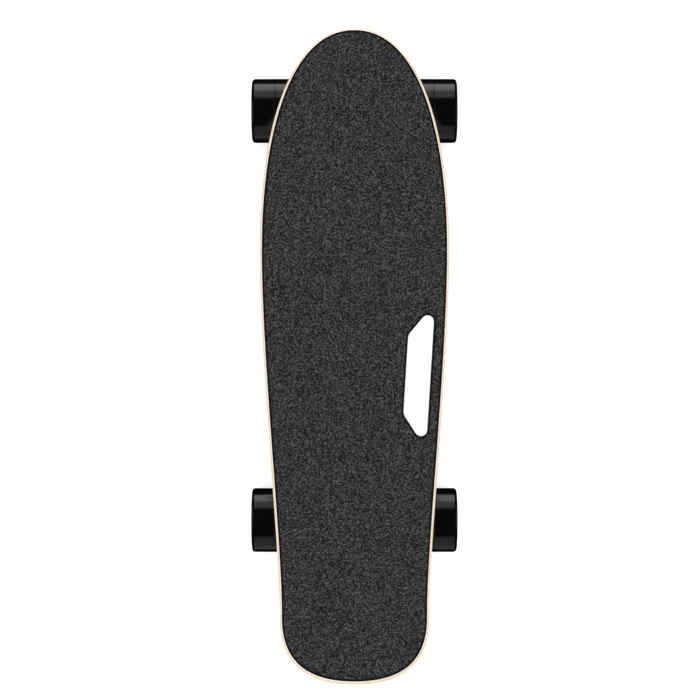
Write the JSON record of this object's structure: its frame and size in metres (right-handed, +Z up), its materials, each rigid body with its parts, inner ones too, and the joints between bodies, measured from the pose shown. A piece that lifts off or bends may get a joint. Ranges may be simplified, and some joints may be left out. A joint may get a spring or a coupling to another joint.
{
  "type": "electric skateboard",
  "caption": "Short electric skateboard with kick tail, grip tape, slanted carry handle, sprung steering trucks, rolling wheels, hub motor and under-deck power pack.",
  "frame": {"origin": "on the ground under the middle of the deck, where the box's bottom face has its centre", "axes": "+Y to the nose, along the deck; +Z up; +X to the side with the carry handle and the hub motor"},
  "size_m": [0.224, 0.7004, 0.1304],
  "materials": {
    "maple": "clear lacquered maple, pale edge",
    "grip": "black abrasive grit",
    "urethane": "smooth glossy urethane",
    "black_casting": "black powder coat on cast alloy",
    "plated_steel": "zinc plated",
    "black_steel": "black oxide",
    "moulded_nylon": "fine moulded texture",
    "tray": "fine spark-eroded texture",
    "bushing": "translucent urethane",
    "seal": "matte black rubber",
    "bare_alloy": "satin anodised",
    "winding": "enamelled copper wire",
    "battery_wrap": "blue shrink wrap",
    "gauge_lens": "smoked lens"
  },
  "bodies": {
    "deck": {"deck": "maple", "grip_tape": "grip", "enclosure_tray": "tray", "enclosure_gasket": "seal", "battery_pack": "battery_wrap", "motor_controller": "bare_alloy", "power_button_bezel": "bare_alloy", "charge_port": "moulded_nylon", "battery_gauge": "gauge_lens", "motor_cable": "seal", "front_riser_pad": "seal", "front_baseplate": "black_casting", "front_kingpin": "plated_steel", "front_kingpin_nut": "plated_steel", "front_road_washer": "plated_steel", "front_road_bushing": "bushing", "front_board_bushing": "bushing", "front_pivot_cup": "seal", "front_truck_bolt_1": "black_steel", "front_truck_bolt_2": "black_steel", "front_truck_bolt_3": "black_steel", "front_truck_bolt_4": "black_steel", "rear_riser_pad": "seal", "rear_baseplate": "black_casting", "rear_kingpin": "plated_steel", "rear_kingpin_nut": "plated_steel", "rear_road_washer": "plated_steel", "rear_road_bushing": "bushing", "rear_board_bushing": "bushing", "rear_pivot_cup": "seal", "rear_truck_bolt_1": "black_steel", "rear_truck_bolt_2": "black_steel", "rear_truck_bolt_3": "black_steel", "rear_truck_bolt_4": "black_steel"},
    "front_hanger": {"front_hanger": "black_casting", "front_axle": "plated_steel", "front_left_wheel_axle_nut": "plated_steel", "front_right_wheel_axle_nut": "plated_steel"},
    "rear_hanger": {"rear_hanger": "black_casting", "rear_axle": "plated_steel", "rear_left_wheel_axle_nut": "plated_steel", "motor_shaft": "plated_steel", "motor_stator": "winding"},
    "front_left_wheel": {"front_left_wheel_tyre": "urethane", "front_left_wheel_core": "moulded_nylon", "front_left_wheel_inner_bearing": "plated_steel", "front_left_wheel_outer_bearing": "plated_steel"},
    "front_right_wheel": {"front_right_wheel_tyre": "urethane", "front_right_wheel_core": "moulded_nylon", "front_right_wheel_inner_bearing": "plated_steel", "front_right_wheel_outer_bearing": "plated_steel"},
    "rear_left_wheel": {"rear_left_wheel_tyre": "urethane", "rear_left_wheel_core": "moulded_nylon", "rear_left_wheel_inner_bearing": "plated_steel", "rear_left_wheel_outer_bearing": "plated_steel"},
    "rear_motor_wheel": {"motor_tyre": "urethane", "motor_can": "black_casting", "motor_cover": "black_casting"},
    "power_button": {"power_button": "moulded_nylon"},
    "charge_port_cap": {"charge_port_cap": "seal"}
  },
  "joints": [
    {"name": "front_truck_steer", "type": "hinge", "parent": "deck", "child": "front_hanger", "pos_m": [0, 0.23651, 0.04801], "axis": [0, 0.8746, 0.4848], "range_deg": [-12, 12], "stiffness_Nm_per_rad": 45, "deforming": ["front_board_bushing", "front_road_bushing"]},
    {"name": "rear_truck_steer", "type": "hinge", "parent": "deck", "child": "rear_hanger", "pos_m": [0, -0.15051, 0.04801], "axis": [0, -0.8746, 0.4848], "range_deg": [-12, 12], "stiffness_Nm_per_rad": 45, "deforming": ["rear_board_bushing", "rear_road_bushing", "motor_cable"]},
    {"name": "front_left_wheel_spin", "type": "hinge", "parent": "front_hanger", "child": "front_left_wheel", "pos_m": [-0.0865, 0.2675, 0.035], "axis": [1, 0, 0], "continuous": true},
    {"name": "front_right_wheel_spin", "type": "hinge", "parent": "front_hanger", "child": "front_right_wheel", "pos_m": [0.0865, 0.2675, 0.035], "axis": [1, 0, 0], "continuous": true},
    {"name": "rear_left_wheel_spin", "type": "hinge", "parent": "rear_hanger", "child": "rear_left_wheel", "pos_m": [-0.0865, -0.1815, 0.035], "axis": [1, 0, 0], "continuous": true},
    {"name": "rear_motor_wheel_spin", "type": "hinge", "parent": "rear_hanger", "child": "rear_motor_wheel", "pos_m": [0.0865, -0.1815, 0.035], "axis": [1, 0, 0], "continuous": true},
    {"name": "power_button_press", "type": "slide", "parent": "deck", "child": "power_button", "axis": [1, 0, 0], "range_m": [0, 0.0012], "stiffness_N_per_m": 400},
    {"name": "charge_port_cap_swing", "type": "hinge", "parent": "deck", "child": "charge_port_cap", "pos_m": [-0.04475, -0.068, 0.07526], "axis": [0, 0, -1], "range_deg": [0, 100]}
  ]
}
